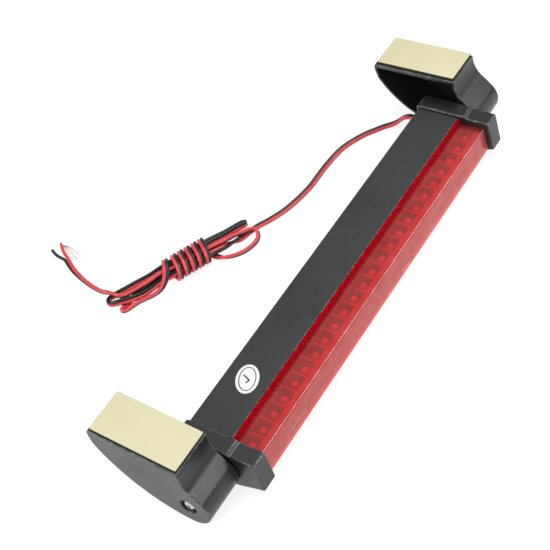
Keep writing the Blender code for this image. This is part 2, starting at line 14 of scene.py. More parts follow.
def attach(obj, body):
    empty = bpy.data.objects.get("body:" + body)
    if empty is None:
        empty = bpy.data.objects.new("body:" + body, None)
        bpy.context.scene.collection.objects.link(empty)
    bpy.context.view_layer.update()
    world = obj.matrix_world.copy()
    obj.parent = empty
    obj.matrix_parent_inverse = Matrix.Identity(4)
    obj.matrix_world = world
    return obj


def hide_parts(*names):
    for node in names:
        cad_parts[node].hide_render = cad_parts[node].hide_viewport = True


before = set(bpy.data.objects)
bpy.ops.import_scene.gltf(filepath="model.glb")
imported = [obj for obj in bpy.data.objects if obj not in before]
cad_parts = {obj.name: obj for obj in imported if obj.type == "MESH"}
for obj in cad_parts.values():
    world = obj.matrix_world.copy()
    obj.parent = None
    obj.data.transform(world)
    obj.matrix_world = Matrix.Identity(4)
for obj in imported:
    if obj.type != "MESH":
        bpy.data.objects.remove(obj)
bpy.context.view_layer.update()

MM = 0.001

# Bar
BACK_Y = 22.4
EDGE_Y = -4.0
PLATE_Z = 25.0
BAR_HALF = 133.4
CAP_IN = 126.2
CAP_OUT = 136.5
BOSS_END = 149.6
LENS_TOP = 20.9
LENS_FRONT = -20.3
LENS_FOOT = -5.65

# Oval label on the plate
LABEL_PLACE = (-91.5, 8.9)
LABEL_TURN = 26.0

# Swivel brackets
PIVOT_Y = 0.8
PIVOT_Z = 13.1
BRACKET_IN = 137.0
BRACKET_OUT = 163.7
REST_TILT = {"left": 5.8, "right": -0.7}
RECESS_FLOOR = 159.4
SCREW_SEAT = 160.8
SCREW_BORE = 2.3
TAPE_HEIGHTS = ((28.75, 0.0), (28.95, 0.10), (29.3, 0.22), (29.7, 0.24), (30.05, 0.14), (30.25, 0.02))

# Reflector cups
LED_COUNT = 24
LED_PITCH = 10.5
LED_Y = -10.4
RESISTOR_PITCH = 3 * LED_PITCH
DIODE_X = 94.5

# Lead: a flat twin of two round conductors
WIRE_RADIUS = 1.05
WIRE_OFFSET = 1.02
WEB_ANGLE = 30.0
ON_TABLE = 1.12
EXIT = (130.2, 28.3, 12.0)

# Hank of folded lead, in its own directions along and across
HANK_START = Vector((10.0, 86.5, 0.0))
HANK_ALONG = Vector((-0.8994, 0.4370, 0.0))
HANK_ACROSS = Vector((0.4370, 0.8990, 0.0))

# Ways from the black conductor to the red one: lying flat, standing on edge, or leaning with red on top
FLAT = (0, -1, 0)
ON_EDGE = (0, -0.5, -0.86)
RED_UP = (0.09, -0.44, 0.89)


# ---- camera and light

def linked(name, data):
    """Object made from its data and put in the scene."""
    result = bpy.data.objects.new(name, data)
    bpy.context.scene.collection.objects.link(result)
    return result


def make_camera():
    """Long lens that looks down on the bar from past its near end."""
    data = bpy.data.cameras.new("camera")
    data.lens = 83.91
    data.sensor_width = 36.0
    data.clip_start = 0.02
    data.clip_end = 20.0
    camera = linked("camera", data)
    right = Vector((0.51661, -0.83763, -0.17748))
    up = Vector((0.69301, 0.28732, 0.66119))
    back = right.cross(up)
    turn = Matrix((right, up, back)).transposed().to_4x4()
    camera.matrix_world = Matrix.Translation((-0.37885, -0.29419, 0.53903)) @ turn
    bpy.context.scene.camera = camera


def area_light(name, place, target, size, power):
    """Rectangular soft light that faces its target."""
    data = bpy.data.lights.new(name, "AREA")
    data.shape = "RECTANGLE"
    data.size, data.size_y = size
    data.energy = power
    light = linked(name, data)
    light.location = place
    aim_at = Vector(target) - Vector(place)
    light.rotation_euler = aim_at.to_track_quat("-Z", "Y").to_euler()


def make_studio():
    """A pale tent, a broad soft light overhead and smaller ones that run along the rounded edges."""
    world = bpy.data.worlds.new("studio")
    bpy.context.scene.world = world
    world.use_nodes = True
    background = world.node_tree.nodes["Background"]
    background.inputs["Color"].default_value = grey(1.0)
    background.inputs["Strength"].default_value = 0.55
    area_light("overhead", (-0.1, 0.1, 1.3), (0.0, 0.04, 0.0), (1.2, 1.2), 7.0)
    area_light("lens_side", (-0.5, -1.2, 0.7), (0.0, 0.0, 0.0), (0.9, 0.5), 4.0)
    area_light("far_end", (0.75, -0.05, 1.3), (0.0, 0.0, 0.0), (0.3, 0.6), 7.0)
    area_light("low_front", (0.6, -1.07, 0.6), (-0.05, 0.0, 0.0), (0.8, 0.35), 6.0)
    area_light("near_end", (-0.98, 0.6, 0.62), (0.0, 0.0, 0.0), (0.5, 0.4), 6.0)
    bpy.context.scene.view_settings.view_transform = "Standard"
    floor = solid("floor", slab([(-9, -9), (9, -9), (9, 9), (-9, 9)], -0.02, 0.0), floor_finish(), scale=1.0)


# ---- shader helpers

class Finish:
    """A material whose nodes are made and joined in one call each."""

    def __init__(self, name):
        self.material = bpy.data.materials.new(name)
        self.material.use_nodes = True
        self.tree = self.material.node_tree
        self.tree.nodes.clear()
        self.output = self.add("OutputMaterial")
        self.place = self.add("TexCoord").outputs["Object"]
        self.axes = self.add("SeparateXYZ", Vector=self.place).outputs

    def add(self, kind, settings=(), **inputs):
        """Make a node; its inputs are numbers, colours or other nodes' outputs."""
        node = self.tree.nodes.new("ShaderNode" + kind)
        for key, value in dict(settings).items():
            setattr(node, key, value)
        for key, value in inputs.items():
            self.feed(node.inputs[key.replace("_", " ")], value)
        return node

    def feed(self, socket, value):
        if isinstance(value, bpy.types.NodeSocket):
            self.tree.links.new(value, socket)
        else:
            socket.default_value = value

    def scaled(self, x, y, z):
        """The object's own coordinates, stretched."""
        return self.add("Mapping", Vector=self.place, Scale=(x, y, z)).outputs["Vector"]

    def noise(self, scale, detail=2.0, place=None, roughness=0.5):
        node = self.add("TexNoise", Vector=place or self.place, Scale=scale, Detail=detail,
                        Roughness=roughness)
        return node.outputs["Fac"]

    def levels(self, value, low, high, to_low=0.0, to_high=1.0):
        """Map one range to another and clamp."""
        node = self.add("MapRange", Value=value, From_Min=low, From_Max=high,
                        To_Min=to_low, To_Max=to_high)
        return node.outputs["Result"]

    def math(self, operation, a, b=0.0):
        node = self.add("Math", {"operation": operation})
        self.feed(node.inputs[0], a)
        self.feed(node.inputs[1], b)
        return node.outputs[0]

    def patches(self, scale, detail=2.0):
        """Noise spread over the whole range from 0 to 1."""
        return self.levels(self.noise(scale, detail), 0.3, 0.7)

    def past(self, value, start, end, to_start=0.0, to_end=1.0):
        """Like levels, with the value's limits in millimetres."""
        return self.levels(value, start * MM, end * MM, to_start, to_end)

    def times(self, a, b):
        return self.math("MULTIPLY", a, b)

    def colours(self, fac, a, b):
        node = self.add("Mix", {"data_type": "RGBA"})
        self.feed(node.inputs[0], fac)
        self.feed(node.inputs[6], a)
        self.feed(node.inputs[7], b)
        return node.outputs[2]

    def bump(self, height, depth_mm, strength=1.0, under=None):
        node = self.add("Bump", Height=height, Distance=depth_mm * MM, Strength=strength)
        if under:
            self.tree.links.new(under, node.inputs["Normal"])
        return node.outputs["Normal"]

    def principled(self, **inputs):
        shader = self.add("BsdfPrincipled", **inputs)
        return shader.outputs["BSDF"]

    def mixed(self, fac, a, b):
        node = self.add("MixShader")
        self.feed(node.inputs[0], fac)
        self.feed(node.inputs[1], a)
        self.feed(node.inputs[2], b)
        return node.outputs[0]

    def done(self, shader):
        self.tree.links.new(shader, self.output.inputs["Surface"])
        return self.material


def rgb(red, green, blue):
    """Opaque colour."""
    return (red, green, blue, 1.0)


def grey(value):
    """Opaque neutral colour."""
    return rgb(value, value, value)


# ---- finishes

def floor_finish():
    """Pale backlit sweep, so that shadows stay faint."""
    f = Finish("pale_floor")
    soft = f.patches(3.0)
    shader = f.principled(Base_Color=f.colours(soft, grey(0.29), grey(0.31)), Roughness=0.8,
                          Specular_IOR_Level=0.1, Emission_Color=grey(1.0), Emission_Strength=0.78)
    return f.done(shader)


def moulded_black(name, dark, light, roughness=0.36):
    """Satin ABS: fine grain, faint flow marks, handling smears and rubbed edges."""
    f = Finish(name)
    flow = f.levels(f.noise(45.0, 4.0, f.scaled(0.35, 1.0, 1.0)), 0.32, 0.68)
    base = f.colours(flow, dark, light)
    rubbed = f.add("Attribute", {"attribute_name": "edge"}).outputs["Fac"]
    patchy = f.levels(f.noise(420.0, 3.0), 0.42, 0.62)
    wear = f.times(rubbed, patchy)
    base = f.colours(wear, base, rgb(0.075, 0.08, 0.08))
    hairline = f.levels(f.noise(900.0, 2.0, f.scaled(0.04, 1.0, 1.0)), 0.66, 0.8, 0.0, 0.35)
    base = f.colours(hairline, base, rgb(0.06, 0.063, 0.063))
    smear = f.levels(f.noise(28.0, 3.0), 0.3, 0.7, roughness - 0.05, roughness + 0.1)
    gloss = f.math("SUBTRACT", smear, f.times(wear, 0.1))
    grain = f.bump(f.noise(2600.0, 3.0), 0.02, 0.5)
    waviness = f.bump(f.noise(60.0, 1.0), 0.06, 0.4, under=grain)
    return f.done(f.principled(Base_Color=base, Roughness=gloss, Normal=waviness))


def red_lens_finish():
    """Tinted acrylic: nearly clear on top, painted deep-red shade at the riser, clouded and scratched in
    front, with a painted highlight along the front-top edge.
    """
    f = Finish("lens_acrylic")
    across = f.axes["Y"]
    height = f.axes["Z"]
    front = f.past(across, LENS_FRONT, LENS_FRONT - 0.3)
    riser = f.past(height, LENS_TOP + 0.05, LENS_TOP + 0.25)
    # Painted highlight: a band along the rounded front-top edge, made pale where it catches the light.
    corner = f.times(f.past(across, LENS_FRONT + 0.3, LENS_FRONT + 0.1),
                    f.past(height, LENS_TOP - 0.5, LENS_TOP - 0.3))
    scratch = f.levels(f.noise(1500.0, 2.0, f.scaled(0.05, 1.0, 1.0), 0.7), 0.60, 0.74)
    cross = f.levels(f.noise(1100.0, 2.0, f.scaled(1.0, 0.08, 0.08), 0.7), 0.66, 0.80)
    leaning = f.add("Mapping", Vector=f.place, Rotation=(0.0, 0.6, 0.0),
                    Scale=(0.05, 1.0, 1.0)).outputs["Vector"]
    gouge = f.levels(f.noise(700.0, 3.0, leaning, 0.7), 0.63, 0.70)
    marks = f.math("MAXIMUM", f.math("MAXIMUM", scratch, cross), gouge)
    dull = f.levels(f.noise(110.0, 4.0), 0.35, 0.75)
    haze_and_edge_highlight = f.times(front, f.levels(dull, 0, 1, 0.05, 0.10))
    haze_and_edge_highlight = f.math("ADD", haze_and_edge_highlight, f.times(marks, f.levels(front, 0, 1, 0.02, 0.16)))
    # The painted edge highlight: the pale diffuse goes up to 0.2-0.5 along the front-top edge.
    haze_and_edge_highlight = f.math("MAXIMUM", haze_and_edge_highlight, f.times(corner, f.levels(dull, 0, 1, 0.2, 0.5)))
    haze_and_edge_highlight = f.math("MAXIMUM", haze_and_edge_highlight, f.levels(dull, 0, 1, 0.02, 0.045))
    haze_and_edge_highlight = f.times(haze_and_edge_highlight, f.levels(riser, 0, 1, 1.0, 0.0))
    tint = f.add("BsdfTransparent", Color=rgb(0.93, 0.10, 0.085)).outputs[0]
    cloud = f.patches(140.0)
    tint_and_painted_shade = f.colours(cloud, rgb(0.80, 0.022, 0.020), rgb(0.90, 0.032, 0.026))
    # Painted shade: the riser under the plate edge is coloured a dark deep red instead of being left clear.
    tint_and_painted_shade = f.colours(riser, tint_and_painted_shade, rgb(0.50, 0.002, 0.010))
    milk = f.add("BsdfDiffuse", Color=tint_and_painted_shade).outputs[0]
    through = f.add("BsdfTranslucent", Color=tint_and_painted_shade).outputs[0]
    # At the riser the diffuse share rises to 0.9, so that its painted shade shows.
    share = f.math("MAXIMUM", f.levels(front, 0, 1, 0.14, 0.45), f.times(riser, 0.9))
    body = f.mixed(share, tint, f.mixed(0.4, milk, through))
    # Pale diffuse: real clouding on the front face, and a painted highlight along the front-top edge.
    pale = f.add("BsdfDiffuse", Color=rgb(1.0, 0.60, 0.58)).outputs[0]
    hazed_and_highlit = f.mixed(haze_and_edge_highlight, body, pale)
    ripple = f.bump(f.noise(90.0), 0.05, 0.3)
    ripple = f.bump(marks, 0.004, 0.4, under=ripple)
    rough = f.levels(dull, 0, 1, 0.04, 0.10)
    gloss = f.add("BsdfGlossy", Color=grey(1.0), Roughness=rough, Normal=ripple).outputs[0]
    grazing = f.add("LayerWeight", Blend=0.5, Normal=ripple).outputs["Facing"]
    edge = f.math("ADD", 0.04, f.times(f.math("POWER", grazing, 5.0), 0.96))
    edge = f.times(edge, f.past(across, LENS_FOOT - 0.35, LENS_FOOT - 0.25, 1.0, 0.05))
    return f.done(f.mixed(edge, hazed_and_highlit, gloss))


def cup_finish():
    """Pale rims and flanges; below the rim the cup walls are darkened with patchy painted shade."""
    f = Finish("reflector_white")
    depth = f.axes["Z"]
    # Painted shade: darker with depth below the rim, where the cups lie in shade.
    low = f.past(depth, 18.15, 17.4)
    painted_shade = f.times(low, f.levels(f.noise(400.0, 3.0), 0.2, 0.8, 0.85, 1.0))
    speck = f.patches(1300.0, 3.0)
    rim = f.colours(speck, rgb(0.50, 0.48, 0.46), rgb(0.57, 0.55, 0.53))
    # Dark colour of the painted shade on the cup walls.
    base = f.colours(painted_shade, rim, rgb(0.19, 0.15, 0.15))
    return f.done(f.principled(Base_Color=base, Roughness=0.35,
                               Normal=f.bump(f.noise(1800.0), 0.02, 0.4)))


def led_finish():
    """Diffused epoxy, pale at the dome and dark down near the board: the lead frame in part, painted shade
    deep in the cup in part.
    """
    f = Finish("led_epoxy_dome")
    height = f.axes["Z"]
    # Darker below the dome: partly the lead frame, partly painted shade in the cup.
    top = f.past(height, 9.5, 12.5)
    swirl = f.levels(f.noise(900.0), 0.3, 0.7, 0.85, 1.0)
    fac = f.times(top, swirl)
    base = f.colours(fac, rgb(0.30, 0.20, 0.19), rgb(0.93, 0.75, 0.72))
    return f.done(f.principled(Base_Color=base, Roughness=0.12, Coat_Weight=0.5,
                               Normal=f.bump(f.noise(1500.0), 0.01, 0.3)))


def board_finish():
    """Green solder mask with brighter tracks along the board and drilled spots."""
    f = Finish("solder_mask")
    stripes = f.math("SINE", f.times(f.axes["Y"], 2100.0))
    breaks = f.math("SINE", f.times(f.axes["X"], 299.2))
    track = f.times(f.levels(stripes, 0.1, 0.3), f.levels(breaks, -0.95, -0.85))
    mottle = f.levels(f.noise(800.0, 3.0), 0.3, 0.7, 0.0, 0.35)
    base = f.colours(track, rgb(0.02, 0.11, 0.045), rgb(0.05, 0.24, 0.09))
    base = f.colours(mottle, base, rgb(0.02, 0.08, 0.04))
    return f.done(f.principled(Base_Color=base, Roughness=0.3, Normal=f.bump(track, 0.03, 0.8)))


def resistor_finish():
    """Sand-coloured bodies with four colour bands, and tinned leads past the body."""
    f = Finish("resistor_bands")
    pitch = RESISTOR_PITCH * MM
    shifted = f.math("ADD", f.axes["X"], 4 * pitch)
    along = f.math("SUBTRACT", f.math("MODULO", shifted, pitch), pitch / 2)
    base = f.colours(f.patches(700.0), rgb(0.50, 0.37, 0.20), rgb(0.58, 0.44, 0.26))
    bands = [(-1.9, rgb(0.20, 0.08, 0.02)), (-0.9, rgb(0.02, 0.02, 0.02)),
             (0.1, rgb(0.45, 0.05, 0.03)), (1.8, rgb(0.55, 0.38, 0.10))]
    for place, colour in bands:
        off = f.math("ABSOLUTE", f.math("SUBTRACT", along, place * MM))
        base = f.colours(f.past(off, 0.35, 0.28), base, colour)
    lead = f.past(f.math("ABSOLUTE", along), 3.05, 3.15)
    base = f.colours(lead, base, rgb(0.62, 0.62, 0.64))
    return f.done(f.principled(Base_Color=base, Metallic=lead, Roughness=f.levels(lead, 0, 1, 0.4, 0.28),
                               Normal=f.bump(f.noise(1500.0), 0.02, 0.4)))


def diode_finish():
    """Black body with a silver cathode band and tinned leads."""
    f = Finish("diode_band")
    along = f.math("SUBTRACT", f.axes["X"], DIODE_X * MM)
    band = f.past(f.math("ABSOLUTE", f.math("SUBTRACT", along, 1.7 * MM)), 0.45, 0.38)
    lead = f.past(f.math("ABSOLUTE", along), 2.55, 2.65)
    base = f.colours(f.patches(800.0), grey(0.02), grey(0.035))
    base = f.colours(f.math("MAXIMUM", band, lead), base, rgb(0.62, 0.62, 0.64))
    return f.done(f.principled(Base_Color=base, Metallic=lead, Roughness=0.35,
                               Normal=f.bump(f.noise(1500.0), 0.02, 0.4)))


def foam_finish():
    """Black closed-cell foam."""
    f = Finish("foam_cells")
    cells = f.add("TexVoronoi", Vector=f.place, Scale=3300.0).outputs["Distance"]
    base = f.colours(f.levels(cells, 0.1, 0.6), rgb(0.008, 0.008, 0.005), rgb(0.035, 0.035, 0.022))
    return f.done(f.principled(Base_Color=base, Roughness=0.95, Specular_IOR_Level=0.2,
                               Normal=f.bump(cells, 0.12, 0.9)))


def liner_finish():
    """Waxed release paper: faint fibres, a soft mottle and slightly yellowed patches."""
    f = Finish("release_paper")
    fibre = f.levels(f.noise(1600.0, 4.0, f.scaled(1.0, 0.25, 1.0)), 0.3, 0.7)
    patch = f.patches(55.0, 3.0)
    base = f.colours(patch, rgb(0.517, 0.486, 0.306), rgb(0.545, 0.511, 0.330))
    base = f.colours(f.times(fibre, 0.3), base, rgb(0.476, 0.444, 0.267))
    weave = f.bump(fibre, 0.012, 0.5)
    return f.done(f.principled(Base_Color=base, Roughness=f.levels(patch, 0, 1, 0.5, 0.62),
                               Normal=f.bump(f.noise(130.0), 0.05, 0.5, under=weave)))


def plated_steel(name, tone):
    """Plating with fine turning marks and dull spots."""
    f = Finish(name)
    brushed = f.noise(2400.0, 2.0, f.scaled(6.0, 1.0, 1.0))
    spots = f.levels(f.noise(700.0, 3.0), 0.55, 0.8)
    base = f.colours(spots, tone, rgb(tone[0] * 0.72, tone[1] * 0.72, tone[2] * 0.73))
    return f.done(f.principled(Base_Color=base, Metallic=1.0,
                               Roughness=f.levels(brushed, 0.2, 0.8, 0.14, 0.32),
                               Normal=f.bump(brushed, 0.008, 0.5)))


def rubber_finish():
    """Black rubber with a grey bloom."""
    f = Finish("rubber_bush")
    bloom = f.levels(f.noise(500.0, 4.0), 0.35, 0.7)
    base = f.colours(bloom, grey(0.014), grey(0.034))
    return f.done(f.principled(Base_Color=base, Roughness=f.levels(bloom, 0, 1, 0.6, 0.8),
                               Normal=f.bump(f.noise(2200.0, 3.0), 0.03, 0.6)))


def vinyl_finish(name, tone):
    """Printed film with faint soiling."""
    f = Finish(name)
    speck = f.levels(f.noise(900.0, 3.0), 0.35, 0.75)
    worn = rgb(tone[0] * 0.9, tone[1] * 0.9, tone[2] * 0.88)
    base = f.colours(f.times(speck, 0.5), tone, worn)
    return f.done(f.principled(Base_Color=base, Roughness=f.levels(speck, 0, 1, 0.38, 0.55),
                               Normal=f.bump(f.noise(1400.0), 0.01, 0.5)))


def pvc_finish(name, deep, bright, shine=0.6):
    """Soft PVC: shallow extrusion ripples, cloudy dye and light dulling."""
    f = Finish(name)
    cloud = f.patches(220.0, 3.0)
    base = f.colours(cloud, deep, bright)
    dulled = f.levels(f.noise(90.0, 3.0), 0.35, 0.7, 0.27, 0.42)
    ripple = f.bump(f.noise(650.0, 1.0), 0.06, 0.45)
    fine = f.bump(f.noise(3500.0), 0.01, 0.5, under=ripple)
    return f.done(f.principled(Base_Color=base, Roughness=dulled, Normal=fine, Specular_IOR_Level=shine))


def tinned_finish():
    """Copper strands, partly tinned."""
    f = Finish("tinned_strand")
    oxide = f.patches(1200.0)
    base = f.colours(oxide, rgb(0.72, 0.55, 0.42), rgb(0.66, 0.63, 0.60))
    return f.done(f.principled(Base_Color=base, Metallic=1.0, Roughness=f.levels(oxide, 0, 1, 0.25, 0.45),
                               Normal=f.bump(f.noise(4000.0), 0.005, 0.5)))


# ---- mesh helpers

def arc(centre, radius, start, end, steps):
    """Points of an arc, with its angles in degrees."""
    angles = [math.radians(start + (end - start) * i / steps) for i in range(steps + 1)]
    return [(centre[0] + radius * math.cos(a), centre[1] + radius * math.sin(a)) for a in angles]


def fillet(outline, radius, steps=4, least=22.0):
    """Round every corner of a closed outline that turns by more than the least angle."""
    points = [Vector(p) for p in outline]
    result = []
    for i, corner in enumerate(points):
        before = points[i - 1] - corner
        after = points[(i + 1) % len(points)] - corner
        turn = math.pi - before.angle(after)
        if turn < math.radians(least):
            result.append(tuple(corner))
            continue
        cut = min(radius * math.tan(turn / 2), 0.42 * before.length, 0.42 * after.length)
        start = corner + before.normalized() * cut
        end = corner + after.normalized() * cut
        for k in range(steps + 1):
            t = k / steps
            result.append(tuple(start * (1 - t) ** 2 + corner * 2 * t * (1 - t) + end * t * t))
    return result


def offset(outline, distance):
    """Move every side of a closed counter-clockwise outline outwards."""
    points = [Vector(p) for p in outline]
    result = []
    for i, point in enumerate(points):
        before = (point - points[i - 1]).normalized()
        after = (points[(i + 1) % len(points)] - point).normalized()
        middle = Vector((before.y + after.y, -before.x - after.x))
        result.append(tuple(point + middle * distance / (0.5 * middle.length_squared)))
    return result


def layers(rings):
    """Closed solid through rings of equal length, with flat ends."""
    bm = bmesh.new()
    made = [[bm.verts.new(p) for p in ring] for ring in rings]
    for lower, upper in zip(made, made[1:]):
        for i in range(len(lower)):
            bm.faces.new((lower[i - 1], lower[i], upper[i], upper[i - 1]))
    bm.faces.new(made[0])
    bm.faces.new(made[-1])
    bmesh.ops.recalc_face_normals(bm, faces=bm.faces)
    return bm


def round_ended(outline, low, high, radius, steps=3):
    """(outline, height) pairs whose two ends are rounded over by the radius."""
    result = []
    for k in range(steps + 1):
        a = math.pi / 2 * k / steps
        result.append((offset(outline, -radius * (1 - math.sin(a))), low + radius * (1 - math.cos(a))))
    for k in range(steps, -1, -1):
        a = math.pi / 2 * k / steps
        result.append((offset(outline, -radius * (1 - math.sin(a))), high - radius * (1 - math.cos(a))))
    return result


def bar_of(outline, low, high, rounding=0.0):
    """Extrude (y, z) points along X."""
    low, high = sorted((low, high))
    stack = round_ended(outline, low, high, rounding) if rounding else [(outline, low), (outline, high)]
    return layers([[(x, y, z) for y, z in ring] for ring, x in stack])


def slab(outline, low, high, rounding=0.0):
    """Extrude (x, y) points along Z."""
    stack = round_ended(outline, low, high, rounding) if rounding else [(outline, low), (outline, high)]
    return layers([[(x, y, z) for x, y in ring] for ring, z in stack])


def turned(profile, steps):
    """Solid of revolution about Z from (radius, height) points; both ends have some radius."""
    rings = []
    for radius, height in profile:
        rings.append([(radius * math.cos(2 * math.pi * i / steps), radius * math.sin(2 * math.pi * i / steps),
                       height) for i in range(steps)])
    return layers(rings)


def aim(direction, origin):
    """Placing that turns +Z to the direction and moves the origin."""
    turn = Vector((0.0, 0.0, 1.0)).rotation_difference(Vector(direction)).to_matrix().to_4x4()
    return Matrix.Translation(Vector(origin)) @ turn


def moved(bm, matrix):
    """The same mesh after a placing."""
    bmesh.ops.transform(bm, matrix=matrix, verts=bm.verts)
    return bm


def solid(name, bm, finish, scale=MM, smooth=35.0):
    """Object from a mesh in millimetres, which is used up."""
    bmesh.ops.scale(bm, vec=(scale, scale, scale), verts=bm.verts)
    mesh = bpy.data.meshes.new(name)
    bm.to_mesh(mesh)
    bm.free()
    mesh.materials.append(finish)
    result = linked(name, mesh)
    soften(result, smooth)
    return result


def soften(piece, angle=35.0):
    """Smooth shading, except across edges sharper than the angle."""
    piece.data.shade_smooth()
    piece.data.set_sharp_from_angle(angle=math.radians(angle))


def carve(piece, cutters, operation="DIFFERENCE"):
    """Cut or join meshes one after another, leaving one plain mesh."""
    finish = piece.data.materials[0]
    for bm in cutters:
        tool = solid("tool", bm, finish)
        modifier = piece.modifiers.new("shape", "BOOLEAN")
        modifier.operation = operation
        modifier.solver = "EXACT"
        modifier.object = tool
        graph = bpy.context.evaluated_depsgraph_get()
        result = bpy.data.meshes.new_from_object(piece.evaluated_get(graph))
        piece.modifiers.clear()
        piece.data = result
        bpy.data.objects.remove(tool, do_unlink=True)
    piece.data.materials.clear()
    piece.data.materials.append(finish)
    soften(piece)


def mark_edges(piece, narrow=0.75):
    """Mark narrow faces, so that their finish can wear there, and even out the shading."""
    mesh = piece.data
    values = []
    for face in mesh.polygons:
        corners = [mesh.vertices[i].co for i in face.vertices]
        around = sum((a - b).length for a, b in zip(corners, corners[1:] + corners[:1]))
        width = 2.0 * face.area / max(around, 1e-9)
        values.append(1.0 if width < narrow * MM else 0.0)
    layer = mesh.attributes.new("edge", "FLOAT", "FACE")
    layer.data.foreach_set("value", values)
    even = piece.modifiers.new("even", "WEIGHTED_NORMAL")
    even.keep_sharp = True


def belongs(piece, body, slot, *nodes):
    """The piece rides on a body and stands for these CAD nodes, which are hidden; the slot is not used."""
    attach(piece, body)
    if nodes:
        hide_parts(*nodes)
    return piece


# ---- bar

def housing_outline():
    """(y, z) points of the bent sheet: back, plate and floor."""
    return [(BACK_Y, 0.0), (BACK_Y, PLATE_Z), (EDGE_Y, PLATE_Z), (EDGE_Y, 23.4), (20.8, 23.4),
            (20.8, 1.6), (-4.4, 1.6), (-20.0, 5.7), (-20.0, 4.1), (-4.0, 0.0)]


def lens_outline():
    """(y, z) points of the riser, the top and the leaning front, all of one thickness."""
    return [(-4.3, 24.9), (-4.7, 24.9), (-5.45, 21.1), (LENS_FOOT, LENS_TOP), (-20.1, LENS_TOP),
            (-20.33, 20.67), (-22.3, 5.7), (-20.5, 5.5), (-18.7, 19.1), (-4.0, 19.1), (-3.4, 19.6),
            (-2.6, 23.1), (-4.3, 23.1)]


def body_outline():
    """Outside of housing and lens together, open below, for the pockets in the caps."""
    return [(BACK_Y, -2.0), (BACK_Y, PLATE_Z), (-4.7, PLATE_Z), (-5.5, LENS_TOP), (LENS_FRONT, LENS_TOP),
            (-22.3, 5.6), (-20.0, 4.1), (-4.0, 0.0), (-3.4, -2.0)]


def cap_outline():
    """(y, z) points of an end cap, whose top steps down over the lens."""
    lip = arc((22.1, 24.8), 1.9, 0.0, 90.0, 6)
    step = [(-6.8, 26.7), (-7.4, 26.55), (-8.8, 25.9), (-9.4, 25.8)]
    nose = [(-23.1, 25.8), (-23.8, 25.1), (-26.1, 6.6), (-25.5, 5.9), (-8.0, 0.0)]
    return [(23.0, 0.0), (24.0, 1.0)] + lip + step + nose


def make_bar(matt):
    """Housing, notched for the lead's bush, and the lens."""
    housing = solid("housing_shell", bar_of(fillet(housing_outline(), 0.5), -BAR_HALF, BAR_HALF), matt)
    notch = [(18.4, 8.8), (24.4, 8.8), (24.4, 15.2), (18.4, 15.2)]
    carve(housing, [bar_of(notch, 127.2, 134.5)])
    mark_edges(housing, 0.35)
    belongs(housing, "bar", "black_plastic", "housing")
    lens = solid("lens_cover", bar_of(fillet(lens_outline(), 0.3, 4), -BAR_HALF, BAR_HALF), red_lens_finish())
    belongs(lens, "bar", "red_lens", "lens")


def make_cap(side, sign, black):
    """End cap with a pocket for the bar and a boss for the pivot screw."""
    cap = solid("cap_" + side, bar_of(fillet(cap_outline(), 1.0), sign * CAP_IN, sign * CAP_OUT, 0.9), black)
    pocket = bar_of(offset(body_outline(), 0.3), sign * (CAP_IN - 2.0), sign * 133.9)
    carve(cap, [pocket])
    seat = (sign * (CAP_OUT - 1.0), PIVOT_Y, PIVOT_Z)
    reach = BOSS_END - CAP_OUT + 1.0
    boss = turned([(9.4, 0.0), (9.4, 1.0), (8.9, 1.3), (8.6, 1.9), (8.6, reach - 0.8), (8.4, reach - 0.3),
                   (7.9, reach)], 48)
    carve(cap, [moved(boss, aim((sign, 0, 0), seat))], "UNION")
    pilot = turned([(SCREW_BORE, 3.0), (SCREW_BORE, reach - 0.6), (2.9, reach + 0.1), (2.9, reach + 2.0)], 32)
    cutters = [moved(pilot, aim((sign, 0, 0), seat))]
    if side == "right":
        bush_hole = turned([(2.9, 0.0), (2.9, 4.0)], 32)
        cutters.append(moved(bush_hole, aim((0, 1, 0), (EXIT[0], 21.4, EXIT[2]))))
    carve(cap, cutters)
    mark_edges(cap)
    belongs(cap, "bar", "black_plastic", "end_cap_" + side)


def rounded_square(half, corner, height, centre_x, steps):
    """Points of a square with round corners, centred on an LED."""
    points = []
    for quarter in range(4):
        shift = (half - corner) * math.sqrt(2.0)
        middle = math.radians(90.0 * quarter + 45.0)
        centre = (centre_x + shift * math.cos(middle), LED_Y + shift * math.sin(middle))
        first = 90.0 * quarter + 45.0 / steps
        quarter_arc = arc(centre, corner, first, first + 90.0 - 90.0 / steps, steps - 1)
        points += [(x, y, height) for x, y in quarter_arc]
    return points


def make_cups():
    """White strip with a square cup round each LED and a flange along both sides."""
    section = [(-15.65, 8.2), (-5.15, 8.2), (-5.15, 16.6), (-4.6, 16.9), (-4.6, 18.2), (-18.3, 18.2),
               (-18.3, 16.9), (-15.65, 16.6)]
    half = LED_COUNT * LED_PITCH / 2
    strip = solid("reflector_strip", bar_of(fillet(section, 0.25, 2), -half, half), cup_finish())
    cells = bmesh.new()
    levels = [(3.2, 3.2, 7.2), (3.2, 3.2, 9.6), (3.4, 3.2, 10.0), (4.5, 1.4, 17.6), (4.62, 1.4, 18.0),
              (4.9, 1.5, 18.6)]
    for index in range(LED_COUNT):
        x = (index - (LED_COUNT - 1) / 2) * LED_PITCH
        cell = layers([rounded_square(h, c, z, x, 6) for h, c, z in levels])
        mesh = bpy.data.meshes.new("cell")
        cell.to_mesh(mesh)
        cell.free()
        cells.from_mesh(mesh)
        bpy.data.meshes.remove(mesh)
    carve(strip, [cells])
    belongs(strip, "bar", "cup_plastic", "led_cup_strip")


def ellipse(half_long, half_short, steps=64):
    """Points of an oval at the label's place and angle, counter-clockwise."""
    turn = math.radians(LABEL_TURN)
    points = []
    for i in range(steps):
        a = 2 * math.pi * i / steps
        u = half_long * math.cos(a)
        v = half_short * math.sin(a)
        points.append((LABEL_PLACE[0] + u * math.cos(turn) - v * math.sin(turn),
                       LABEL_PLACE[1] + u * math.sin(turn) + v * math.cos(turn)))
    return points


